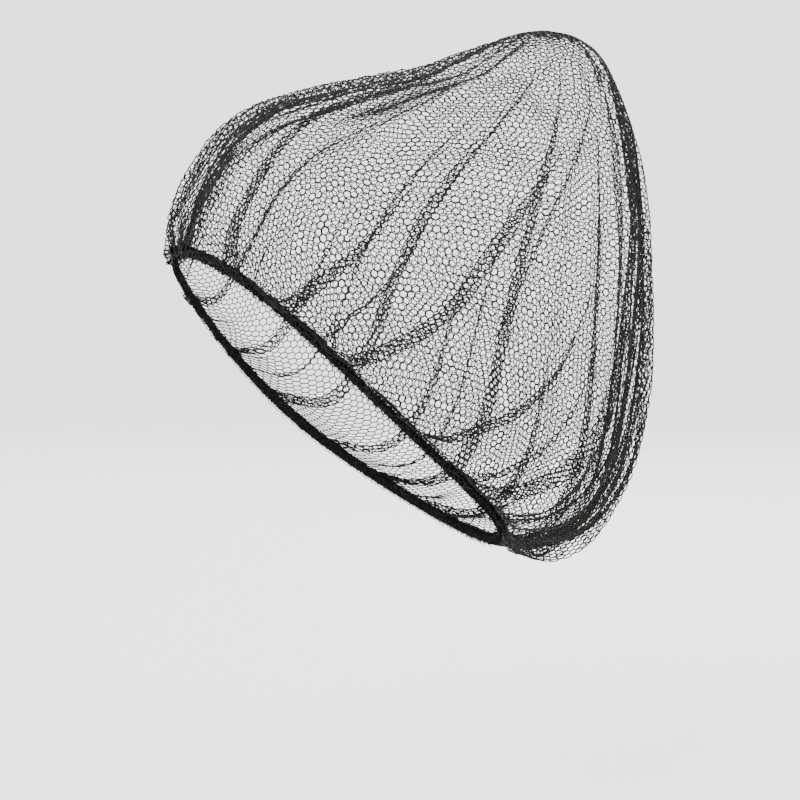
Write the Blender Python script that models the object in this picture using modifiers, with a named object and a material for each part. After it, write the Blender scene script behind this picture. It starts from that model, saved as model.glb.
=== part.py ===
"""Hairnet in its worn form: a fine net bag gathered all round on an elastic band.

Metres, +Z up, front -Y. The origin is the centre of the band's ring, which is the mouth of the bag.
"""
import math

import bpy
import numpy as np

# Driving sizes of the elastic band
BAND_DEPTH = 0.164          # ring from front to back, seen from above
BAND_DROP = 0.148           # how far the back of the ring lies below its front
BAND_WIDTH = 0.152          # ring from side to side
BAND_SIDE_DIP = 0.008       # how far the ring sinks at its sides below a flat ring
BAND_TALL = 0.0044          # elastic, across its flat
BAND_THICK = 0.0026         # elastic, through its flat

# Driving sizes of the net bag
BAG_DEPTH = 0.254           # bag from its front to its back
BAG_HEIGHT = 0.272          # bag from its lowest point to its top
BAG_WIDTH = 0.186           # bag from side to side
NET_WALL = 0.0011           # thickness of the net with its knots
RIM_GAP = 0.0005            # clearance between the net's rim and the band

# Driving sizes of the folds and gathers
FOLD_WIDTH = 0.0066         # foot to foot of a laid fold
FOLD_RISE = 0.0024          # height of a full fold over the net beside it
GATHER_RISE = 0.0009        # height of the small gathers at the band
GATHER_REACH = 0.09         # share of the way to the top where the gathers die out

# Resolution
BAND_STEPS = 96
NET_ROWS = 26
MID_STEP = 7.6              # degrees between the plain columns that fill the space between two folds
ROW_CROWDING = 1.12         # above 1, rows lie closer together near the band

# Sections of the bag, from the one above the band to the last one under the top. Lengths in y are shares
# of BAG_DEPTH, those in z and dip are shares of BAG_HEIGHT, and the half width is a share of BAG_WIDTH.
# front y, front z, back y, back z, half width, dip at the sides
SECTIONS = (
    (-0.339, 0.276, 0.374, -0.298, 0.441, 0.022),
    (-0.335, 0.312, 0.457, -0.312, 0.473, 0.015),
    (-0.319, 0.368, 0.547, -0.272, 0.489, 0.007),
    (-0.283, 0.430, 0.614, -0.169, 0.500, 0.000),
    (-0.228, 0.496, 0.646, -0.015, 0.500, -0.007),
    (-0.138, 0.548, 0.657, 0.132, 0.484, -0.011),
    (-0.027, 0.575, 0.657, 0.265, 0.446, -0.011),
    (0.090, 0.599, 0.646, 0.382, 0.387, -0.007),
    (0.193, 0.616, 0.630, 0.474, 0.317, -0.004),
    (0.276, 0.642, 0.602, 0.566, 0.247, 0.000),
    (0.342, 0.662, 0.567, 0.632, 0.172, 0.000),
    (0.398, 0.678, 0.520, 0.669, 0.091, 0.000),
)
TOP = (0.457, 0.685)        # y and z of the bag's top, as the same shares

# Folds round the bag. Angles in degrees from the front towards the +X side, where the fold meets
# the band, two fifths of the way up and four fifths of the way up. Starts and ends are shares of the way
# from band to top, and the rise is a share of FOLD_RISE.
# angle at band, angle lower, angle upper, start, end, rise
FOLDS = (
    (4, 5, 8, 0.00, 0.58, 0.8),
    (19, 25, 34, 0.00, 0.66, 1.0),
    (45, 59, 50, 0.00, 0.62, 1.0),
    (55, 68, 62, 0.10, 0.84, 0.7),
    (64, 83, 92, 0.00, 0.84, 1.0),
    (86, 107, 107, 0.00, 0.48, 0.8),
    (106, 122, 121, 0.00, 0.88, 1.0),
    (124, 133, 138, 0.00, 0.86, 0.8),
    (142, 144, 152, 0.00, 0.50, 0.9),
    (160, 160, 164, 0.00, 0.80, 1.0),
    (179, 177, 178, 0.00, 0.56, 0.9),
    (197, 196, 192, 0.00, 0.78, 1.0),
    (214, 213, 208, 0.00, 0.46, 0.8),
    (231, 228, 222, 0.00, 0.84, 1.0),
    (249, 243, 240, 0.00, 0.52, 0.7),
    (267, 260, 256, 0.00, 0.86, 1.0),
    (288, 279, 274, 0.00, 0.50, 0.8),
    (306, 300, 298, 0.00, 0.80, 1.0),
    (325, 322, 322, 0.00, 0.60, 0.8),
    (343, 342, 340, 0.00, 0.70, 1.0),
)
FOLD_LEVELS = (0.0, 0.4, 0.8)   # where along the way up the three angles of a fold are read
RIM_FADE = 0.05                 # share of the way over which folds and gathers rise above the band
FOLD_EASE = 0.12                # share of the way over which a fold dies out at its upper end
FOLD_TABLE_TOP = 0.9            # above this share of the way the folds' angles and width stay as they are
FOOT_LIMIT = 0.3                # most of the way to the next fold that a fold's foot takes up

# Small steps for reading a direction off a curve or a surface
ANGLE_STEP = 0.01
SHARE_STEP = 0.005
RUN_STEP = 0.001

BAND_SIDES = 8                  # flats round the elastic's oval section


def clear_scene():
    for thing in list(bpy.data.objects):
        bpy.data.objects.remove(thing, do_unlink=True)


def new_collection(name):
    group = bpy.data.collections.new(name)
    bpy.context.scene.collection.children.link(group)
    return group


def principled(name, colour, roughness):
    material = bpy.data.materials.new(name)
    material.use_nodes = True
    shader = material.node_tree.nodes["Principled BSDF"]
    shader.inputs["Base Color"].default_value = (*colour, 1.0)
    shader.inputs["Roughness"].default_value = roughness
    shader.inputs["Metallic"].default_value = 0.0
    return material


def unit(vector):
    return vector / np.linalg.norm(vector)


def ring_point(front, back, half_width, dip, angle):
    """Point of a tilted ring through front and back (y, z), at an angle from the front."""
    middle = (front + back) / 2
    reach = (back - front) / 2
    y, z = middle - reach * math.cos(angle)
    return np.array((half_width * math.sin(angle), y, z - dip * math.sin(angle) ** 4))


def band_point(angle):
    front = np.array((-BAND_DEPTH / 2, BAND_DROP / 2))
    return ring_point(front, -front, BAND_WIDTH / 2, BAND_SIDE_DIP, angle)


def band_up(angle):
    """Direction across the elastic's flat: square to its run and as near upright as that allows."""
    run = unit(band_point(angle + RUN_STEP) - band_point(angle - RUN_STEP))
    upright = np.array((0.0, 0.0, 1.0))
    return unit(upright - run * run[2])


def section_points(angle):
    """One point of each section at an angle, from the net's rim over the band to the bag's top."""
    lift = BAND_TALL / 2 + RIM_GAP + NET_WALL / 2
    points = [band_point(angle) + band_up(angle) * lift]
    for front_y, front_z, back_y, back_z, half_width, dip in SECTIONS:
        front = np.array((front_y * BAG_DEPTH, front_z * BAG_HEIGHT))
        back = np.array((back_y * BAG_DEPTH, back_z * BAG_HEIGHT))
        points.append(ring_point(front, back, half_width * BAG_WIDTH, dip * BAG_HEIGHT, angle))
    points.append(np.array((0.0, TOP[0] * BAG_DEPTH, TOP[1] * BAG_HEIGHT)))
    return points


def smooth_between(points, share):
    """Point on a smooth curve through evenly spaced points, at a share of its way."""
    place = min(max(share, 0.0), 1.0) * (len(points) - 1)
    index = min(int(place), len(points) - 2)
    along = place - index
    before = points[index - 1] if index > 0 else 2 * points[0] - points[1]
    start, end = points[index], points[index + 1]
    after = points[index + 2] if index + 2 < len(points) else 2 * end - start
    return start + 0.5 * along * (
        end - before
        + along * (2 * before - 5 * start + 4 * end - after)
        + along ** 2 * (3 * (start - end) + after - before)
    )


def bag_point(angle, share):
    return smooth_between(section_points(angle), share)


def bag_normal(angle, share):
    """Outward direction of the bag's surface."""
    around = bag_point(angle + ANGLE_STEP, share) - bag_point(angle - ANGLE_STEP, share)
    upward = bag_point(angle, share + SHARE_STEP) - bag_point(angle, max(share - SHARE_STEP, 0.0))
    return unit(np.cross(around, upward))


def lift_direction(angle, share):
    """Where a fold rises to: up and out beside the band, square to the net further from it."""
    outward = np.array((math.sin(angle), -math.cos(angle), 0.0))
    beside_band = unit(band_up(angle) + outward)
    blend = ease(share / GATHER_REACH)
    return unit(beside_band * (1 - blend) + bag_normal(angle, share) * blend)


def bag_radius(share):
    """Mean radius of the bag at a share of the way up."""
    points = [bag_point(math.radians(quarter), share) for quarter in (0, 90, 180, 270)]
    middle = sum(points) / len(points)
    return sum(np.linalg.norm(point - middle) for point in points) / len(points)


def fold_angle(fold, share):
    """Angle of a fold's crest, read between its three named angles with a parabola."""
    total = 0.0
    for level, value in zip(FOLD_LEVELS, fold[:3]):
        weight = 1.0
        for other in FOLD_LEVELS:
            if other != level:
                weight *= (share - other) / (level - other)
        total += weight * value
    return math.radians(total)


def ease(value):
    value = min(max(value, 0.0), 1.0)
    return value * value * (3 - 2 * value)


def fold_height(fold, share):
    start, end, rise = fold[3:]
    return FOLD_RISE * rise * ease((share - start) / RIM_FADE) * ease((end - share) / FOLD_EASE)


def gather_height(share):
    return GATHER_RISE * ease(share / RIM_FADE) * ease(1 - share / GATHER_REACH)


def plain_columns(index):
    """How many plain columns lie between a fold and the next one, worked out at the lower fold level."""
    here, after = FOLDS[index], FOLDS[(index + 1) % len(FOLDS)]
    gap = (after[1] - here[1]) % 360
    return max(1, round(gap / MID_STEP) - 1)


def row_columns(share):
    """Angle and height of each column of the net at a share of the way up, in order round the bag."""
    table_share = min(share, FOLD_TABLE_TOP)
    crests = [fold_angle(fold, table_share) for fold in FOLDS]
    half_foot = FOLD_WIDTH / 2 / bag_radius(table_share)
    row = []
    for index, fold in enumerate(FOLDS):
        crest = crests[index]
        after = crests[(index + 1) % len(FOLDS)]
        if after < crest:
            after += 2 * math.pi
        foot = min(half_foot, (after - crest) * FOOT_LIMIT)
        row.append((crest, fold_height(fold, share) + gather_height(share)))
        row.append((crest + foot, 0.0))
        plain = plain_columns(index)
        for step in range(1, plain + 1):
            across = foot + (after - crest - 2 * foot) * step / (plain + 1)
            row.append((crest + across, gather_height(share) if step % 2 else 0.0))
        row.append((after - foot, 0.0))
    return row


def make_net(group, material):
    """The bag as one open surface with a thickness: columns follow the folds, rows run round the bag."""
    points = []
    faces = []
    for row in range(NET_ROWS):
        share = (row / NET_ROWS) ** ROW_CROWDING
        columns = row_columns(share)
        for angle, height in columns:
            points.append(bag_point(angle, share) + lift_direction(angle, share) * height)
    count = len(columns)
    top = len(points)
    points.append(bag_point(0.0, 1.0))
    for row in range(NET_ROWS - 1):
        for column in range(count):
            beside = (column + 1) % count
            low, high = row * count, (row + 1) * count
            faces.append((low + column, low + beside, high + beside, high + column))
    last = (NET_ROWS - 1) * count
    for column in range(count):
        faces.append((last + column, last + (column + 1) % count, top))
    mesh = bpy.data.meshes.new("net_bag")
    mesh.from_pydata([tuple(point) for point in points], [], faces)
    mesh.materials.append(material)
    mesh.shade_smooth()
    net = bpy.data.objects.new("net_bag", mesh)
    group.objects.link(net)
    wall = net.modifiers.new("wall", "SOLIDIFY")
    wall.thickness = NET_WALL
    wall.offset = 0.0
    wall.use_quality_normals = True
    return net


def band_profile(guides):
    """Flat oval section of the elastic."""
    curve = bpy.data.curves.new("band_profile", "CURVE")
    curve.dimensions = "2D"
    oval = curve.splines.new("POLY")
    oval.points.add(BAND_SIDES - 1)
    for side in range(BAND_SIDES):
        turn = -2 * math.pi * side / BAND_SIDES
        oval.points[side].co = (
            BAND_THICK / 2 * math.cos(turn), BAND_TALL / 2 * math.sin(turn), 0.0, 1.0)
    oval.use_cyclic_u = True
    profile = bpy.data.objects.new("band_profile", curve)
    profile.hide_render = True
    profile.display_type = "WIRE"
    guides.objects.link(profile)
    return profile


def make_band(group, guides, material):
    """The elastic as one closed loop with its flat side facing the middle."""
    curve = bpy.data.curves.new("elastic_band", "CURVE")
    curve.dimensions = "3D"
    curve.twist_mode = "Z_UP"
    loop = curve.splines.new("POLY")
    loop.points.add(BAND_STEPS - 1)
    for step in range(BAND_STEPS):
        loop.points[step].co = (*band_point(2 * math.pi * step / BAND_STEPS), 1.0)
    loop.use_cyclic_u = True
    loop.use_smooth = True
    curve.bevel_mode = "OBJECT"
    curve.bevel_object = band_profile(guides)
    curve.materials.append(material)
    band = bpy.data.objects.new("elastic_band", curve)
    group.objects.link(band)
    return band


def main():
    clear_scene()
    parts = new_collection("hairnet")
    guides = new_collection("guides")
    make_net(parts, principled("net_yarn", (0.022, 0.018, 0.016), 0.6))
    make_band(parts, guides, principled("band_elastic", (0.016, 0.015, 0.016), 0.8))


main()
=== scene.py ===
"""Dresses the worn hairnet: honeycomb strands with their folds, and the covered elastic they hang from.

Metres, +Z up, front -Y. The net is laid out flat as one piece of honeycomb, then wrapped on the bag.
Angles go round the bag from the front, and shares of the way up go from the band, 0, to the top, 1.
"""

import math

import bpy
import numpy as np
from mathutils import Matrix, Vector


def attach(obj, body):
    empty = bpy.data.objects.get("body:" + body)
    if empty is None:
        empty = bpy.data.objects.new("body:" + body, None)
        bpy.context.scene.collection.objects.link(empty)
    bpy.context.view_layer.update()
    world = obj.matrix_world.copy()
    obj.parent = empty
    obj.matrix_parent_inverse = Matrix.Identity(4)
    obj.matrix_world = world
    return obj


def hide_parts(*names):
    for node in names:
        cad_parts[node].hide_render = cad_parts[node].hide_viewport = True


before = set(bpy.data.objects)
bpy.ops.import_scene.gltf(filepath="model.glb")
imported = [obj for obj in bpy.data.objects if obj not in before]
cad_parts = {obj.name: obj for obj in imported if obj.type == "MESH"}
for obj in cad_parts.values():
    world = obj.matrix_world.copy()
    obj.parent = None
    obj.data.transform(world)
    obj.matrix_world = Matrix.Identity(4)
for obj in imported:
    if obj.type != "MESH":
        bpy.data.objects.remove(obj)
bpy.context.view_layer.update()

# Sizes shared with the construction
BAND_DEPTH = 0.164
BAND_DROP = 0.148
BAND_WIDTH = 0.152
BAND_SIDE_DIP = 0.008
BAND_TALL = 0.0044
BAND_THICK = 0.0026
BAG_DEPTH = 0.254
BAG_HEIGHT = 0.272
BAG_WIDTH = 0.186
NET_WALL = 0.0011
RIM_GAP = 0.0005
FOLD_RISE = 0.0024

# The flat net
CELL = 0.00335              # from one mesh hole to the next
STRAND = 0.00060            # thickness of a strand
SIXTHS = 5                  # how many sixths of a flat round of net the bag is made of
FLAT_REACH = 0.40           # radius of the round before the bag's length cuts it

# How the flat net goes on the bag
TOP_EASE = 0.92             # how much the cells at the top are shortened on their way down
TOP_REACH = 0.07            # how far down that wears off
DRAWN = 1.11                # how much the net is drawn out further down
ROW_ANGLE = 65.0            # degrees from the front where a row of holes runs straight up
WRAP = 0.0062               # net wrapped round the elastic below its upper edge
WRAPPED_RISE = 0.25         # share of a fold's height that is left there
TURN_OVER = 0.09            # share of the way up over which folds turn to stand straight out of the bag
SETTLES = 0.03              # share of the way up over which the net comes down to the elastic
FOLDS_RISE_OVER = 0.05      # share of the way up over which folds gain their height
FOLDS_RISE_FROM = 0.15      # how far along in that they are at the band
SMALLEST_ROUND = 0.01       # radius at the top inside which the rows shift no further

# Slow wandering of the rows, and small unevenness of each knot
WANDERS = 5
WANDER_LOBES = (3, 14)
WANDER_LENGTH = (0.03, 0.09)
WANDER = 0.0004
WANDER_SETS_IN = 0.06         # distance from the top over which it sets in
JITTER = 0.00007

# Slow waves of slack net that run up the bag, and how often each goes round it
WAVES = 9
WAVE_LOBES = (9, 30)
WAVE_SLANT = 14
WAVE_HEIGHT = 0.0007
# Lines along which the slack net stands out, with shallow hollows between them. Angles as for the folds.
RIDGES = (
    (10, 10, 6),
    (50, 47, 44),
    (92, 92, 92),
    (128, 125, 121),
    (178, 158, 151),
    (205, 191, 184),
    (230, 222, 216),
    (258, 254, 250),
    (292, 288, 284),
    (314, 317, 310),
    (335, 345, 334),
)
RIDGE_DEPTH = 0.0075
RIDGE_WIDTH = 0.009
SIDE_SLACK = 0.3            # share of that slack where the bag lies closest, at its two sides
SLACK_SETS_IN = 0.14        # share of the way up over which the slack sets in above the band
SLACK_ENDS = 0.4            # share of the way up over which it ends below the top

# front y, front z, back y, back z, half width, dip, as shares of the bag's depth, height and width
SECTIONS = (
    (-0.339, 0.276, 0.374, -0.298, 0.441, 0.022),
    (-0.335, 0.312, 0.457, -0.312, 0.473, 0.015),
    (-0.319, 0.368, 0.547, -0.272, 0.489, 0.007),
    (-0.283, 0.430, 0.614, -0.169, 0.500, 0.000),
    (-0.228, 0.496, 0.646, -0.015, 0.500, -0.007),
    (-0.138, 0.548, 0.657, 0.132, 0.484, -0.011),
    (-0.027, 0.575, 0.657, 0.265, 0.446, -0.011),
    (0.090, 0.599, 0.646, 0.382, 0.387, -0.007),
    (0.193, 0.616, 0.630, 0.474, 0.317, -0.004),
    (0.276, 0.642, 0.602, 0.566, 0.247, 0.000),
    (0.342, 0.662, 0.567, 0.632, 0.172, 0.000),
    (0.398, 0.678, 0.520, 0.669, 0.091, 0.000),
)
TOP = (0.457, 0.685)

# Laid folds and thin creases, in the order in which they lie round the bag two fifths of the way up.
# Angles in degrees at the band, two fifths up and four fifths up, start and end as shares of the way up,
# spare cloth in millimetres, side it is laid to.
FOLDS = (
    (4, 5, 8, 0.00, 0.58, 11, 1),
    (18.5, 9.5, 14, 0.12, 0.42, 4, 1),
    (26, 24, 31, 0.00, 0.60, 16, -1),
    (33, 38, 36, 0.00, 0.32, 5, 1),
    (38, 61, 66, 0.00, 0.46, 16, 1),
    (49, 68, 58, 0.08, 0.84, 6, 1),
    (56.5, 84, 92, 0.00, 0.62, 16, 1),
    (80, 92, 96, 0.28, 0.80, 6, 1),
    (78, 111.5, 117, 0.00, 0.50, 15, -1),
    (98, 118, 112, 0.03, 0.46, 7, 1),
    (104, 127, 110, 0.00, 0.86, 17, 1),
    (133, 136, 141, 0.00, 0.80, 12, -1),
    (147, 148, 153, 0.00, 0.58, 13, 1),
    (161, 160, 164, 0.00, 0.80, 15, -1),
    (179, 177, 178, 0.00, 0.56, 13, 1),
    (197, 196, 192, 0.00, 0.78, 15, 1),
    (214, 213, 208, 0.00, 0.46, 12, -1),
    (231, 228, 222, 0.00, 0.84, 16, 1),
    (240, 236, 232, 0.10, 0.70, 5, 1),
    (249, 243, 240, 0.00, 0.52, 11, -1),
    (267, 260, 256, 0.00, 0.70, 16, -1),
    (278, 270, 266, 0.12, 0.76, 6, 1),
    (288, 279, 274, 0.00, 0.50, 12, 1),
    (306, 300, 298, 0.00, 0.66, 15, -1),
    (325, 322, 322, 0.00, 0.60, 12, 1),
    (334, 332, 331, 0.04, 0.34, 4, 1),
    (343, 342, 340, 0.00, 0.62, 15, 1),
)
FOLD_LEVELS = (0.0, 0.4, 0.8)
HIGHEST_LEVEL = 0.9         # above this share of the way up, folds and ridges keep their angle
FOLD_SETS_IN = 0.06         # share of the way up over which a fold that starts above the band sets in
FOLD_ENDS = 0.26            # share of the way up over which a fold runs out
FOLD_WIDENING = 0.2         # how much more cloth a fold takes up at the band
FOLD_WIDENS_FROM = 0.45
FOLD_CREASE = 0.0007        # roundness of a fold's edges
FOLD_CLIMB = 3.4            # how far before a fold the net starts to climb, in halves of its width
FOLD_FLATNESS = 5           # spare cloth of a narrow fold, in times its height
GATHERS = 78
GATHER_SHIFT = 0.3          # how unevenly the gathers are set, as a share of their spacing
GATHER_SPARE = (3.0, 8.5)   # millimetres of cloth in each small gather at the band
GATHER_REACH = (0.05, 0.26)
GATHER_CREASE = 0.0006
SOFT_FOLD = 0.00015         # keeps the end of a fold from closing to nothing

# The elastic
STITCH = 0.00105            # length of one stitch of the cover
STITCH_POINTS = 4           # points along it
COVER_SIDES = 22            # points round the cover
PLAITS = 5                  # ridges of stitches across the flat
STITCH_RELIEF = 0.00030
STITCH_SINK = 0.00012       # how far its lowest places lie inside the elastic's size
GROOVE_RELIEF = 0.35        # share of the relief that is left between the ridges
STITCH_SLANT = 0.55         # stitches that a slant takes up
COVER_SWELLS = ((3, 1, 0.05), (7, 0, 0.04))     # how often round, where it starts, share of the height
COVER_LUMPS = 6             # waves that make the cover uneven
LUMP_LOBES = (110, 330)     # how often each goes along the elastic
LUMP_LOBES_AROUND = (1, 4)  # and round its section
LUMP_HEIGHT = 0.00006
LOOPS = (370, 330)          # yarn loops along the lower and the upper edge
LOOP_SHIFT = 0.2            # how unevenly they are set, as a share of their spacing
LOOP_FOOT = 0.46            # how far they stand from the middle, as a share of the elastic's height
LOOP_FOOT_OUT = (-0.0002, 0.0006)
LOOP_HALF_WIDTH = (0.0006, 0.00085)
LOOP_HEIGHT = (0.0008, 0.0015)
LOOP_LEAN = (-0.2, 0.6)     # how much they lean in or out
LOOP_ROOT = 0.25            # radians by which a loop's ends turn back into the elastic
LOOP_YARN = 0.00017         # radius of their yarn
FIBRES = 4200               # loose fibres, before those towards the front are thinned out
FRONT_FIBRES = 0.3          # share of them that stays at the front
FIBRE_SPREAD = 1.3          # radians past the two edges, towards the inside, where fibres still grow
FIBRE_LENGTH = (0.0008, 0.0031)
FIBRE_CURL = 0.45           # how far a fibre bends aside, as a share of its length
FIBRE_TAPER = (0.00010, 0.00010, 0.00008, 0.00003)


# Shape of the worn bag

def unit(vectors):
    return vectors / np.linalg.norm(vectors, axis=-1, keepdims=True)


def ease(value):
    value = np.clip(value, 0.0, 1.0)
    return value * value * (3 - 2 * value)


def ring_points(front, back, half_width, dip, angle):
    """Points of a tilted ring through front and back (y, z), at angles from the front."""
    y = (front[0] + back[0]) / 2 - (back[0] - front[0]) / 2 * np.cos(angle)
    z = (front[1] + back[1]) / 2 - (back[1] - front[1]) / 2 * np.cos(angle)
    return np.stack((half_width * np.sin(angle), y, z - dip * np.sin(angle) ** 4), axis=-1)


def band_points(angle):
    return ring_points((-BAND_DEPTH / 2, BAND_DROP / 2), (BAND_DEPTH / 2, -BAND_DROP / 2),
                       BAND_WIDTH / 2, BAND_SIDE_DIP, angle)


def band_frame(angle):
    """Directions along the elastic, across its flat and out of it."""
    nudge = 0.001
    run = unit(band_points(angle + nudge) - band_points(angle - nudge))
    across = unit(np.array((0.0, 0.0, 1.0)) - run * run[..., 2:3])
    return run, across, np.cross(run, across)


def bag_points(angle, share):
    """Points of the bag, on smooth curves that run up through its rings."""
    angle, share = np.broadcast_arrays(np.asarray(angle, float), np.asarray(share, float))
    lift = BAND_TALL / 2 + RIM_GAP + NET_WALL / 2
    rings = [band_points(angle) + band_frame(angle)[1] * lift]
    for front_y, front_z, back_y, back_z, half_width, dip in SECTIONS:
        rings.append(ring_points((front_y * BAG_DEPTH, front_z * BAG_HEIGHT),
                                 (back_y * BAG_DEPTH, back_z * BAG_HEIGHT),
                                 half_width * BAG_WIDTH, dip * BAG_HEIGHT, angle))
    top = np.array((0.0, TOP[0] * BAG_DEPTH, TOP[1] * BAG_HEIGHT))
    rings.append(np.broadcast_to(top, rings[0].shape))
    rings.insert(0, 2 * rings[0] - rings[1])
    rings.append(2 * rings[-1] - rings[-2])
    rings = np.stack(rings)
    spans = len(rings) - 3
    place = np.clip(share, 0.0, 1.0) * spans
    index = np.minimum(place.astype(int), spans - 1)
    along = (place - index)[..., None]
    before, start, end, after = (
        np.take_along_axis(rings, (index + step)[None, ..., None], axis=0)[0] for step in range(4))
    return start + 0.5 * along * (
        end - before
        + along * (2 * before - 5 * start + 4 * end - after)
        + along ** 2 * (3 * (start - end) + after - before))


def bag_normals(angle, share):
    aside, above = 0.01, 0.005
    around = bag_points(angle + aside, share) - bag_points(angle - aside, share)
    upward = bag_points(angle, share + above) - bag_points(angle, np.maximum(share - above, 0.0))
    return unit(np.cross(around, upward))


# Where the flat net lands on the bag

def level_angles(table, share):
    """Angle of each row of a table at shares of the way up, on a parabola through its three angles."""
    share = np.minimum(share, HIGHEST_LEVEL)
    weights = []
    for level in FOLD_LEVELS:
        others = [other for other in FOLD_LEVELS if other != level]
        weights.append(np.prod([(share - other) / (level - other) for other in others], axis=0))
    return np.radians(np.array(table)[:, :3] @ np.array(weights))


class Wrapping:
    """Turns places on the flat net into places on the bag, and lays its spare cloth in folds."""

    def __init__(self, rng):
        self.angles = np.linspace(0, 2 * math.pi, 181)
        self.shares = np.linspace(0, 1, 241)
        grid = bag_points(self.angles[:, None], self.shares[None, :])
        steps = np.linalg.norm(np.diff(grid, axis=1), axis=-1)
        from_top = np.cumsum(steps[:, ::-1], axis=1)[:, ::-1]
        self.way = np.concatenate((from_top, np.zeros((len(self.angles), 1))), axis=1)
        self.reach = self.way[:, 0]
        self.lay_folds()
        self.lay_gathers(rng)

    def share_at(self, turn, way):
        """Share of the way up at a distance from the top, and how far past the band that lies."""
        place = (turn % (2 * math.pi)) / (2 * math.pi) * (len(self.angles) - 1)
        index = np.minimum(place.astype(int), len(self.angles) - 2)
        blend = place - index
        found = np.zeros(len(turn))
        for column in range(len(self.angles) - 1):
            here = np.nonzero(index == column)[0]
            if len(here):
                low = np.interp(way[here], self.way[column][::-1], self.shares[::-1])
                high = np.interp(way[here], self.way[column + 1][::-1], self.shares[::-1])
                found[here] = low + (high - low) * blend[here]
        edge = self.reach[index] * (1 - blend) + self.reach[index + 1] * blend
        return found, np.maximum(way - edge, 0.0)

    def lay_folds(self):
        """Angle, spare cloth as an angle and middle of each fold on the cloth, over the shares."""
        table = np.array(FOLDS)
        fold_angle = level_angles(FOLDS, self.shares)
        start, end, spare = table[:, 3:4], table[:, 4:5], table[:, 5:6]
        grow = ease((self.shares - start) / FOLD_SETS_IN + (start == 0))
        fade = ease((end - self.shares) / FOLD_ENDS)
        widen = 1 + FOLD_WIDENING * ease(1 - self.shares / FOLD_WIDENS_FROM)
        self.fold_spare = spare / 1000 * grow * fade * widen
        self.fold_side = table[:, 6]
        self.fold_size = self.stretch(fold_angle, self.shares[None, :])
        self.fold_turn = self.fold_spare / self.fold_size
        before = np.cumsum(self.fold_turn, axis=0) - self.fold_turn / 2
        self.slack = self.fold_turn.sum(axis=0) / (2 * math.pi)
        shift = before - self.slack * fold_angle
        self.shift = shift.mean(axis=0)
        self.fold_cloth = (fold_angle + before - self.shift) / (1 + self.slack)

    def lay_gathers(self, rng):
        """The same for the small gathers at the band, each at one angle of the cloth."""
        place = (np.arange(GATHERS) + rng.uniform(-GATHER_SHIFT, GATHER_SHIFT, GATHERS)) / GATHERS
        self.gather_cloth = place * 2 * math.pi
        spare = rng.uniform(*GATHER_SPARE, GATHERS) / 1000
        reach = rng.uniform(*GATHER_REACH, GATHERS)
        self.gather_side = rng.choice((-1.0, 1.0), GATHERS)
        self.gather_spare = spare[:, None] * ease(1 - self.shares / reach[:, None])
        self.gather_size = self.stretch(self.gather_cloth[:, None], self.shares[None, :])
        self.gather_turn = self.gather_spare / self.gather_size
        self.gathered = self.gather_turn.sum(axis=0) / (2 * math.pi)

    def stretch(self, angle, share):
        """Length of net round the bag for each radian."""
        step, least = 0.01, 0.004
        gap = bag_points(angle + step, share) - bag_points(angle - step, share)
        return np.maximum(np.linalg.norm(gap, axis=-1) / (2 * step), least)

    def lay(self, turn, share):
        """Angle on the bag and height over it of places on the cloth."""
        def at(values):
            return np.interp(share, self.shares, values)

        spread = 1 + at(self.slack) + at(self.gathered)
        angle = turn * spread + at(self.shift)
        height = np.zeros(len(turn))
        rows = [(*row, FOLD_CREASE) for row in zip(
            self.fold_cloth, self.fold_turn, self.fold_size, self.fold_spare, self.fold_side)]
        rows += [(np.full(len(self.shares), cloth), *row, GATHER_CREASE) for cloth, *row in zip(
            self.gather_cloth, self.gather_turn, self.gather_size, self.gather_spare, self.gather_side)]
        for cloth, turned, size, spare, side, crease in rows:
            middle, turned, size, spare = at(cloth), at(turned), at(size) * spread, at(spare)
            for lap in (-1, 0, 1):
                away = (turn - middle + lap * 2 * math.pi) * size
                angle -= turned * (self.step(away, spare, crease) - (lap == 1))
                height += self.rise(away * side, spare)
        return angle, height

    @staticmethod
    def step(away, spare, crease):
        """Share of a fold's spare cloth that has been laid back, at a distance from its middle."""
        half = spare / 4 + SOFT_FOLD
        high, low = np.abs((away + half) / crease), np.abs((away - half) / crease)
        bend = (high + np.log1p(np.exp(-2 * high))) - (low + np.log1p(np.exp(-2 * low)))
        return 0.5 + 0.25 * crease / half * bend

    @staticmethod
    def rise(away, spare):
        """Height of a fold's three layers: up to its first crease, then down to its last."""
        half = spare / 4 + SOFT_FOLD
        climb = ease(1 + (away + half) / (FOLD_CLIMB * half))
        fall = ease(0.5 - away / (2 * half))
        return np.minimum(FOLD_RISE, spare / FOLD_FLATNESS) * np.where(away < -half, climb, fall)


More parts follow.
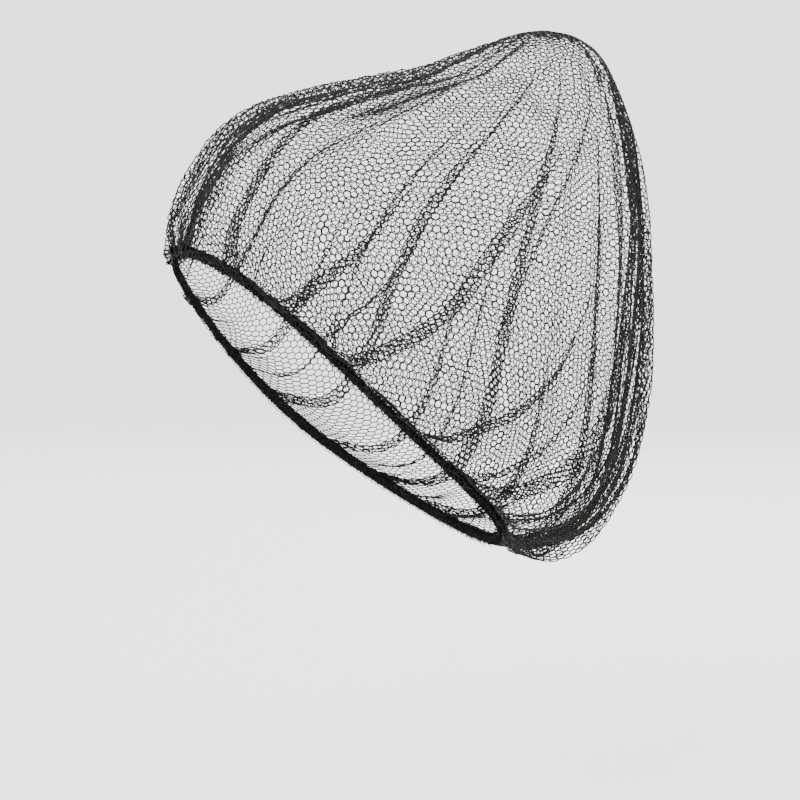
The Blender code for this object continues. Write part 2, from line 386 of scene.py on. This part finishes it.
def flat_net():
    """Knots of the flat net as distance from the middle and angle, and the strands between them.

    Only some sixths of a full round are used, and the last joins the first without a seam.
    """
    side = CELL / math.sqrt(3)
    columns = int(FLAT_REACH / CELL) + 2
    rows = int(columns * 1.2)
    sixth = math.pi / 3
    knots = {}
    places = []
    links = ((90, 210, 330), (270, 30, 150))
    for i in range(-columns, columns + 1):
        for j in range(-1, rows):
            centre = complex((i + j / 2) * CELL, j * CELL * math.sqrt(3) / 2)
            for kind, lift in enumerate((side, -side)):
                place = centre + 1j * lift
                angle = math.atan2(place.imag, place.real)
                if 0 <= angle < sixth and abs(place) < FLAT_REACH:
                    knots[round(place.real / CELL * 2), round(place.imag / side * 2)] = len(places)
                    places.append((place, kind))
    strands = set()
    total = len(places)
    for index, (place, kind) in enumerate(places):
        for degrees in links[kind]:
            bearing = math.radians(degrees)
            end = place + side * complex(math.cos(bearing), math.sin(bearing))
            angle = math.atan2(end.imag, end.real)
            hop = math.floor(angle / sixth)
            end *= complex(math.cos(-hop * sixth), math.sin(-hop * sixth))
            other = knots.get((round(end.real / CELL * 2), round(end.imag / side * 2)))
            if other is None:
                continue
            for lap in range(SIXTHS):
                one, two = lap * total + index, (lap + hop) % SIXTHS * total + other
                strands.add((min(one, two), max(one, two)))
    flat = np.array([place for place, kind in places])
    distance = np.tile(np.abs(flat), SIXTHS)
    angle = np.concatenate([np.angle(flat) + lap * sixth for lap in range(SIXTHS)])
    return distance, angle, np.array(sorted(strands))


def wandering(turn, distance, rng):
    """How far each knot has wandered down the net and round it."""
    slow = np.zeros((2, len(turn)))
    for wave in range(WANDERS):
        lobes = rng.integers(*WANDER_LOBES, 2)
        length = rng.uniform(*WANDER_LENGTH)
        phase = rng.uniform(0, 2 * math.pi, 2)
        for axis in range(2):
            slow[axis] += np.sin(lobes[axis] * turn + distance / length * 2 * math.pi + phase[axis])
    return slow * WANDER * ease(distance / WANDER_SETS_IN)


def slack_height(angle, share, size, rng):
    """Height of the slack net over the bag's full shape, none at the band and at the top."""
    height = np.zeros(len(angle))
    for wave in range(WAVES):
        lobes = rng.integers(*WAVE_LOBES)
        slant, phase = rng.uniform(-WAVE_SLANT, WAVE_SLANT), rng.uniform(0, 2 * math.pi)
        height += WAVE_HEIGHT * np.sin(lobes * angle + slant * share + phase)
    nearest = np.full(len(angle), 1.0)
    for ridge in level_angles(RIDGES, share):
        away = (angle - ridge + math.pi) % (2 * math.pi) - math.pi
        nearest = np.minimum(nearest, np.abs(away) * size)
    height -= RIDGE_DEPTH * (1 - np.exp(-nearest / RIDGE_WIDTH))
    loose = SIDE_SLACK + (1 - SIDE_SLACK) * np.cos(angle) ** 2
    return height * loose * ease(share / SLACK_SETS_IN) * ease((1 - share) / SLACK_ENDS)


def wrapped_points(angle, past, height):
    """Points of the net where it wraps round the elastic, and the direction out of it there."""
    across, out = band_frame(angle)[1:]
    tall, thick = BAND_TALL / 2 + STRAND, BAND_THICK / 2 + STRAND
    roll = past / ((tall + thick) / 2)
    points = (band_points(angle) + across * (tall * np.cos(roll))[:, None]
              + out * (thick * np.sin(roll))[:, None])
    points += unit(across + out) * (height * WRAPPED_RISE)[:, None]
    return points, unit(across * (np.cos(roll) / tall)[:, None] + out * (np.sin(roll) / thick)[:, None])


def place_net(rng):
    """Knots of the worn net, the direction out of the net at each, its strands and its flat angles."""
    distance, angle, strands = flat_net()
    turn = angle * 6 / SIXTHS + math.radians(ROW_ANGLE)
    wrapping = Wrapping(rng)
    down, sideways = wandering(turn, distance, rng)
    way = distance * DRAWN - (DRAWN - TOP_EASE) * TOP_REACH * (1 - np.exp(-distance / TOP_REACH))
    way += down + rng.normal(0, JITTER, len(turn))
    size = np.maximum(distance, SMALLEST_ROUND) * SIXTHS / 6
    turn = turn + (sideways + rng.normal(0, JITTER, len(turn))) / size
    share, past = wrapping.share_at(turn, way)
    strands = prune(strands, past < WRAP)
    laid, height = wrapping.lay(turn, share)
    normal = bag_normals(laid, share)
    across, out = band_frame(laid)[1:]
    beside = unit(across + out)
    above_band = ease(share / TURN_OVER)[:, None]
    lift = unit(beside * (1 - above_band) + normal * above_band)
    settle = (1 - np.clip(share / SETTLES, 0, 1))[:, None]
    drop = RIM_GAP + NET_WALL / 2 - STRAND
    rise = height * ease(share / FOLDS_RISE_OVER + FOLDS_RISE_FROM)
    rise += slack_height(laid, share, wrapping.stretch(laid, share), rng)
    points = bag_points(laid, share) + lift * rise[:, None] - across * drop * settle
    round_band = past > 0
    wrapped, facing = wrapped_points(laid, past, height)
    points[round_band] = wrapped[round_band]
    normal[round_band] = facing[round_band]
    return points, normal, strands, angle


def prune(strands, kept):
    """Strands between kept knots, without the loose ends that the cut leaves."""
    strands = strands[kept[strands].all(axis=1)]
    while True:
        ends = np.bincount(strands.ravel(), minlength=len(kept))
        tied = (ends[strands] > 1).all(axis=1)
        if tied.all():
            return strands
        strands = strands[tied]


# Meshes

def mesh_object(name, points, faces):
    """A mesh of groups of faces. The faces of a group have the same number of corners."""
    mesh = bpy.data.meshes.new(name)
    mesh.vertices.add(len(points))
    mesh.vertices.foreach_set("co", np.asarray(points, np.float32).ravel())
    faces = [np.asarray(group, np.int32) for group in faces]
    sizes = np.concatenate([np.full(len(group), group.shape[1]) for group in faces])
    mesh.loops.add(int(sizes.sum()))
    mesh.loops.foreach_set("vertex_index", np.concatenate([group.ravel() for group in faces]))
    mesh.polygons.add(len(sizes))
    mesh.polygons.foreach_set("loop_start", np.concatenate(((0,), np.cumsum(sizes)[:-1])).astype(np.int32))
    mesh.update(calc_edges=True)
    mesh.shade_smooth()
    piece = bpy.data.objects.new(name, mesh)
    bpy.context.scene.collection.objects.link(piece)
    return piece


def strand_mesh(name, points, normals, strands):
    """Closed mesh of strands with a four-sided section, joined at each knot.

    Each knot has a top and a bottom point, and a corner between each two strands that meet there. A knot
    where one strand ends gets a second, facing the other way, and the strand is closed on it.
    """
    used, strands = np.unique(strands, return_inverse=True)
    strands = strands.reshape(-1, 2)
    points, normals = points[used], normals[used]
    start = np.concatenate((strands[:, 0], strands[:, 1]))
    end = np.concatenate((strands[:, 1], strands[:, 0]))
    heading = unit(points[end] - points[start])
    lone = np.nonzero(np.bincount(start, minlength=len(used)) == 1)[0]
    order = np.argsort(start, kind="stable")
    first = order[np.searchsorted(start[order], lone)]
    start = np.concatenate((start, lone))
    heading = np.concatenate((heading, -heading[first]))
    # Axes are taken from the knot, so that one strand's corners match the next one's
    up = normals[start]
    side = unit(np.cross(up, np.roll(np.abs(up), 1, axis=1) + 0.1))
    front = np.cross(side, up)
    bearing = np.arctan2((heading * front).sum(1), (heading * side).sum(1))
    order = np.lexsort((bearing, start))
    rank = np.empty(len(order), int)
    rank[order] = np.arange(len(order))
    counts = np.bincount(start, minlength=len(used))
    block = np.concatenate(((0,), np.cumsum(counts)[:-1]))
    place = rank - block[start]
    after = order[block[start] + (place + 1) % counts[start]]
    before = order[block[start] + (place - 1) % counts[start]]
    gap = (bearing[after] - bearing) % (2 * math.pi)
    middle = bearing + gap / 2
    sharpest, furthest = 0.3, STRAND * 1.2
    reach = np.minimum(STRAND / 2 / np.maximum(np.sin(gap / 2), sharpest), furthest)
    corner = points[start] + reach[:, None] * (
        side * np.cos(middle)[:, None] + front * np.sin(middle)[:, None])
    top = points + normals * STRAND / 2
    bottom = points - normals * STRAND / 2
    knots = len(used)
    half = np.arange(len(strands))
    back = half + len(strands)
    one, two = strands[:, 0], strands[:, 1]
    left_one, right_one = 2 * knots + half, 2 * knots + before[half]
    right_two, left_two = 2 * knots + back, 2 * knots + before[back]
    quads = np.concatenate((
        np.stack((one, two, left_two, left_one), axis=1),
        np.stack((left_one, left_two, knots + two, knots + one), axis=1),
        np.stack((knots + one, knots + two, right_two, right_one), axis=1),
        np.stack((right_one, right_two, two, one), axis=1)))
    closing = np.arange(2 * len(strands), len(start))
    caps = np.stack((start[closing], 2 * knots + closing, knots + start[closing],
                     2 * knots + before[closing]), axis=1)
    return mesh_object(name, np.concatenate((top, bottom, corner)), [np.concatenate((quads, caps))])


def tube_mesh(name, paths, radius, sides):
    """Closed mesh of many short tubes. Paths is (tubes, points, 3), and the radius may taper."""
    tubes, stations = paths.shape[:2]
    heading = unit(np.gradient(paths, axis=1))
    helper = np.where(np.abs(heading[..., 2:3]) < 0.8, (0.0, 0.0, 1.0), (1.0, 0.0, 0.0))
    across = unit(np.cross(heading, helper))
    other = np.cross(heading, across)
    turn = 2 * math.pi * np.arange(sides) / sides
    ring = (across[:, :, None] * np.cos(turn)[None, None, :, None]
            + other[:, :, None] * np.sin(turn)[None, None, :, None])
    radius = np.broadcast_to(radius, (tubes, stations))
    points = paths[:, :, None] + ring * radius[:, :, None, None]
    index = np.arange(tubes * stations * sides).reshape(tubes, stations, sides)
    beside = np.roll(index, -1, axis=2)
    quads = np.stack((index[:, :-1], beside[:, :-1], beside[:, 1:], index[:, 1:]), axis=-1).reshape(-1, 4)
    ends = np.concatenate((index[:, 0, ::-1], index[:, -1]))
    return mesh_object(name, points.reshape(-1, 3), [quads, ends])


# The elastic

def band_cover(rng):
    """Knitted cover: a flat oval tube with slanting stitches in ridges."""
    ring = band_points(np.linspace(0, 2 * math.pi, 721))
    length = np.linalg.norm(np.diff(ring, axis=0), axis=1).sum()
    steps = int(length / STITCH) * STITCH_POINTS
    angle = np.arange(steps) / steps * 2 * math.pi
    across, out = band_frame(angle)[1:]
    turn = np.arange(COVER_SIDES) / COVER_SIDES * 2 * math.pi
    width = np.ones(steps)
    for lobes, phase, share in COVER_SWELLS:
        width += share * np.sin(lobes * angle + phase)
    stitch = np.arange(steps)[:, None] / STITCH_POINTS
    slant = np.abs(((turn * PLAITS / math.pi) % 2) - 1)
    relief = 0.5 + 0.5 * np.sin(2 * math.pi * (stitch + STITCH_SLANT * slant))
    groove = np.abs(np.sin(turn * PLAITS))
    swell = STITCH_RELIEF * relief * (GROOVE_RELIEF + (1 - GROOVE_RELIEF) * groove) - STITCH_SINK
    for lump in range(COVER_LUMPS):
        lobes, lobes_around = rng.integers(*LUMP_LOBES), rng.integers(*LUMP_LOBES_AROUND)
        phase = rng.uniform(0, 2 * math.pi)
        swell += LUMP_HEIGHT * np.sin(lobes * angle[:, None] + lobes_around * turn + phase)
    tall = (BAND_TALL / 2 * width)[:, None] + swell
    thick = BAND_THICK / 2 + swell
    points = (band_points(angle)[:, None]
              + across[:, None] * (tall * np.sin(turn))[..., None]
              + out[:, None] * (thick * np.cos(turn))[..., None])
    index = np.arange(steps * COVER_SIDES).reshape(steps, COVER_SIDES)
    ahead, beside = np.roll(index, -1, axis=0), np.roll(index, -1, axis=1)
    quads = np.stack((index, ahead, np.roll(ahead, -1, axis=1), beside), axis=-1).reshape(-1, 4)
    return mesh_object("band_cover", points.reshape(-1, 3), [quads])


def band_loops(rng):
    """Small loops of yarn standing off both edges of the elastic."""
    edge = np.repeat((-1.0, 1.0), LOOPS)
    places = [np.arange(count) + rng.uniform(-LOOP_SHIFT, LOOP_SHIFT, count) for count in LOOPS]
    angle = np.concatenate([place / count * 2 * math.pi for place, count in zip(places, LOOPS)])
    count = sum(LOOPS)
    run, across, out = band_frame(angle)
    foot = (band_points(angle) + across * (edge * BAND_TALL * LOOP_FOOT)[:, None]
            + out * rng.uniform(*LOOP_FOOT_OUT, count)[:, None])
    wide = rng.uniform(*LOOP_HALF_WIDTH, count)
    tall = rng.uniform(*LOOP_HEIGHT, count)
    lean = unit(across * edge[:, None] + out * rng.uniform(*LOOP_LEAN, count)[:, None])
    turn = np.linspace(-LOOP_ROOT, math.pi + LOOP_ROOT, 8)
    paths = (foot[:, None]
             + run[:, None] * (wide[:, None] * np.cos(turn))[..., None]
             + lean[:, None] * (tall[:, None] * np.sin(turn))[..., None])
    return tube_mesh("band_loops", paths, LOOP_YARN, 5)


def band_fuzz(rng):
    """Short loose fibres of the cover, thickest towards the back."""
    angle = rng.uniform(0, 2 * math.pi, FIBRES)
    towards_back = (1 - np.cos(angle)) / 2
    angle = angle[rng.uniform(0, 1, FIBRES) < FRONT_FIBRES + (1 - FRONT_FIBRES) * towards_back ** 3]
    count = len(angle)
    run, across, out = band_frame(angle)
    turn = rng.uniform(-FIBRE_SPREAD, math.pi + FIBRE_SPREAD, count)
    foot = (band_points(angle)
            + across * (-BAND_TALL / 2 * np.cos(turn))[:, None]
            + out * (BAND_THICK / 2 * np.sin(turn))[:, None])
    away = unit(across * -np.cos(turn)[:, None] + out * np.sin(turn)[:, None]
                + run * rng.normal(0, 0.9, count)[:, None] + across * rng.normal(0, 0.3, count)[:, None])
    curl = unit(np.cross(away, rng.normal(0, 1, (count, 3))))
    length = rng.uniform(*FIBRE_LENGTH, count)
    along = np.linspace(-0.1, 1, len(FIBRE_TAPER))
    paths = (foot[:, None]
             + away[:, None] * (length[:, None] * along)[..., None]
             + curl[:, None] * (length[:, None] * FIBRE_CURL * along ** 2)[..., None])
    return tube_mesh("band_fuzz", paths, np.array(FIBRE_TAPER), 3)


# Materials

class Sock:
    """An output of a shader node that can be used in sums, which add Math nodes."""

    def __init__(self, tree, socket):
        self.tree = tree
        self.socket = socket

    def math(self, operation, first, second):
        node = self.tree.nodes.new("ShaderNodeMath")
        node.operation = operation
        for slot, value in enumerate((first, second)):
            plug(self.tree, value, node.inputs[slot])
        return Sock(self.tree, node.outputs[0])

    def __add__(self, other):
        return self.math("ADD", self, other)

    def __radd__(self, other):
        return self.math("ADD", other, self)

    def __mul__(self, other):
        return self.math("MULTIPLY", self, other)

    def __rmul__(self, other):
        return self.math("MULTIPLY", other, self)


def plug(tree, value, socket):
    """Links a socket to a node's output, or sets its number or colour."""
    if isinstance(value, Sock):
        tree.links.new(value.socket, socket)
    elif isinstance(value, tuple):
        socket.default_value = (*value, 1.0)
    else:
        socket.default_value = value


class Finish:
    """A material being made, with its Principled shader."""

    def __init__(self, name):
        self.material = bpy.data.materials.new(name)
        self.material.use_nodes = True
        self.tree = self.material.node_tree
        self.shader = self.tree.nodes["Principled BSDF"]
        self.place = self.node("TexCoord", {}, {}, out="Object")

    def node(self, kind, settings, sockets, out=0):
        """Adds a node. Its settings are set first, then the values or links of its sockets."""
        node = self.tree.nodes.new("ShaderNode" + kind)
        for name, value in settings.items():
            setattr(node, name, value)
        for key, value in sockets.items():
            plug(self.tree, value, node.inputs[key])
        return Sock(self.tree, node.outputs[out])

    def noise(self, scale, detail=2.0):
        return self.node("TexNoise", {}, {"Vector": self.place, "Scale": scale, "Detail": detail})

    def mix(self, share, first, second):
        """Colour between two colours. The Mix node's colours are its seventh and eighth sockets."""
        return self.node("Mix", {"data_type": "RGBA"}, {0: share, 6: first, 7: second}, out=2)

    def set(self, **inputs):
        for key, value in inputs.items():
            plug(self.tree, value, self.shader.inputs[key.replace("_", " ")])

    def bump(self, height, distance):
        self.set(Normal=self.node("Bump", {}, {"Height": height, "Distance": distance, "Strength": 1.0}))


def net_yarn():
    """Fine twisted yarn, black with a warm brown cast, slightly glossy."""
    finish = Finish("net_yarn")
    patch = finish.noise(60.0)
    twist = finish.noise(2600.0, 1.0)
    colour = finish.mix(patch, (0.0022, 0.0018, 0.0016), (0.0075, 0.0058, 0.0048))
    finish.set(Base_Color=colour, Roughness=0.42 + twist * 0.2)
    finish.set(Specular_IOR_Level=0.12)
    finish.bump(twist, 0.00006)
    return finish.material


def band_yarn():
    """Matte cover yarn, black, with small cool flecks of painted highlight where the fibre catches light.
    """
    finish = Finish("band_elastic")
    # This noise picks the painted highlights in the colour and also gives the fine bump.
    glint_and_relief = finish.noise(1900.0, 3.0)
    worn = finish.noise(45.0)
    painted_glints = finish.node("MapRange", {}, {"Value": glint_and_relief, "From Min": 0.56, "From Max": 0.72})
    base = finish.mix(worn, (0.0010, 0.0009, 0.0010), (0.0030, 0.0027, 0.0029))
    # Painted highlight: cool grey flecks in the base colour stand in for light caught by the fibre.
    finish.set(Base_Color=finish.mix(painted_glints, base, (0.034, 0.035, 0.040)))
    finish.set(Roughness=0.72 + worn * 0.2)
    finish.set(Specular_IOR_Level=0.05)
    finish.bump(glint_and_relief, 0.00012)
    return finish.material


def plain(name, colour, roughness):
    finish = Finish(name)
    finish.set(Base_Color=colour, Roughness=roughness)
    return finish.material


# The set

METRES_PER_PIXEL = 0.0005   # size of a photo pixel at the object
PHOTO_SIZE = 800
ORIGIN_PIXEL = (339, 399)   # where the centre of the band's ring lies in the photo
CAMERA_DISTANCE = 1.3
CAMERA_AZIMUTH = math.radians(65)
CAMERA_HEIGHT = math.radians(4)
SENSOR_WIDTH = 36.0
FLOOR_Z = -0.22
FLOOR_RADIUS = 3.0
FLOOR_BEND = 1.2            # radius of the curve from the floor up into the wall
WALL_HEIGHT = 3.4
BEND_STEPS = 12
STAGE_SIDES = 96
SKY_LIGHT = 2.5
# name, how far to the camera's right, towards it and up, height that it is aimed at, size, power
LIGHTS = (
    ("key", -0.9, 1.5, 1.5, 0.05, 1.4, 50),
    ("fill", 1.7, 1.1, 1.3, 0.05, 1.6, 33),
    ("rim", 0.4, -1.6, 1.4, 0.08, 1.4, 28),
)


def camera_axes():
    sin_a, cos_a = math.sin(CAMERA_AZIMUTH), math.cos(CAMERA_AZIMUTH)
    sin_e, cos_e = math.sin(CAMERA_HEIGHT), math.cos(CAMERA_HEIGHT)
    back = Vector((sin_a * cos_e, -cos_a * cos_e, sin_e))
    right = Vector((cos_a, sin_a, 0))
    return right, back.cross(right), back


def add_camera():
    right, up, back = camera_axes()
    middle = PHOTO_SIZE / 2
    target = (right * (middle - ORIGIN_PIXEL[0]) - up * (middle - ORIGIN_PIXEL[1])) * METRES_PER_PIXEL
    data = bpy.data.cameras.new("camera")
    data.sensor_width = SENSOR_WIDTH
    data.lens = data.sensor_width * CAMERA_DISTANCE / (PHOTO_SIZE * METRES_PER_PIXEL)
    camera = bpy.data.objects.new("camera", data)
    place = target + back * CAMERA_DISTANCE
    camera.matrix_world = Matrix.Translation(place) @ Matrix((right, up, back)).transposed().to_4x4()
    bpy.context.scene.collection.objects.link(camera)
    bpy.context.scene.camera = camera


def add_light(name, place, target, size, power):
    data = bpy.data.lights.new(name, "AREA")
    data.shape = "SQUARE"
    data.size = size
    data.energy = power
    light = bpy.data.objects.new(name, data)
    light.location = place
    light.rotation_euler = (Vector(target) - Vector(place)).to_track_quat("-Z", "Y").to_euler()
    bpy.context.scene.collection.objects.link(light)


def add_lights():
    world = bpy.data.worlds.new("studio")
    world.use_nodes = True
    background = world.node_tree.nodes["Background"]
    background.inputs["Color"].default_value = (1.0, 1.0, 1.0, 1.0)
    background.inputs["Strength"].default_value = SKY_LIGHT
    bpy.context.scene.world = world
    right, up, back = camera_axes()
    for name, aside, nearer, higher, aim, size, power in LIGHTS:
        add_light(name, right * aside + back * nearer + up * higher, (0, 0, aim), size, power)


def add_stage():
    """A round floor that curves up into a wall, so that its edge never shows behind the net."""
    profile = [(FLOOR_RADIUS, FLOOR_Z)]
    for step in range(1, BEND_STEPS + 1):
        turn = math.pi / 2 * step / BEND_STEPS
        profile.append((FLOOR_RADIUS + FLOOR_BEND * math.sin(turn),
                        FLOOR_Z + FLOOR_BEND * (1 - math.cos(turn))))
    profile.append((FLOOR_RADIUS + FLOOR_BEND, FLOOR_Z + WALL_HEIGHT))
    rings = np.array(profile)
    turn = np.arange(STAGE_SIDES) / STAGE_SIDES * 2 * math.pi
    points = np.stack((rings[:, :1] * np.cos(turn), rings[:, :1] * np.sin(turn),
                       np.broadcast_to(rings[:, 1:], (len(rings), STAGE_SIDES))), axis=-1)
    index = np.arange(len(rings) * STAGE_SIDES).reshape(len(rings), STAGE_SIDES)
    beside = np.roll(index, -1, axis=1)
    quads = np.stack((index[:-1], beside[:-1], beside[1:], index[1:]), axis=-1).reshape(-1, 4)
    stage = mesh_object("floor", points.reshape(-1, 3), [quads, index[:1]])
    stage.data.flip_normals()
    stage.data.shade_flat()
    stage.data.materials.append(plain("pale_floor", (0.93, 0.93, 0.925), 0.9))


# The whole hairnet. The net is cut into panels to keep each mesh small, and runs on without a gap.

PANELS = ("net_left", "net_back", "net_right", "net_front_right", "net_front")
SEED = 7


def dress(piece, material, node):
    piece.data.materials.append(material)
    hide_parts(node)
    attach(piece, "root")


def main():
    rng = np.random.default_rng(SEED)
    yarn, cover = net_yarn(), band_yarn()
    points, normals, strands, angle = place_net(rng)
    sector = (angle[strands].max(axis=1) / (math.pi / 3)).astype(int)
    for number, name in enumerate(PANELS):
        panel = strand_mesh(name, points, normals, strands[sector == number])
        dress(panel, yarn, "net_bag")
    for piece in (band_cover(rng), band_loops(rng), band_fuzz(rng)):
        dress(piece, cover, "elastic_band")
    add_camera()
    add_stage()
    add_lights()


main()
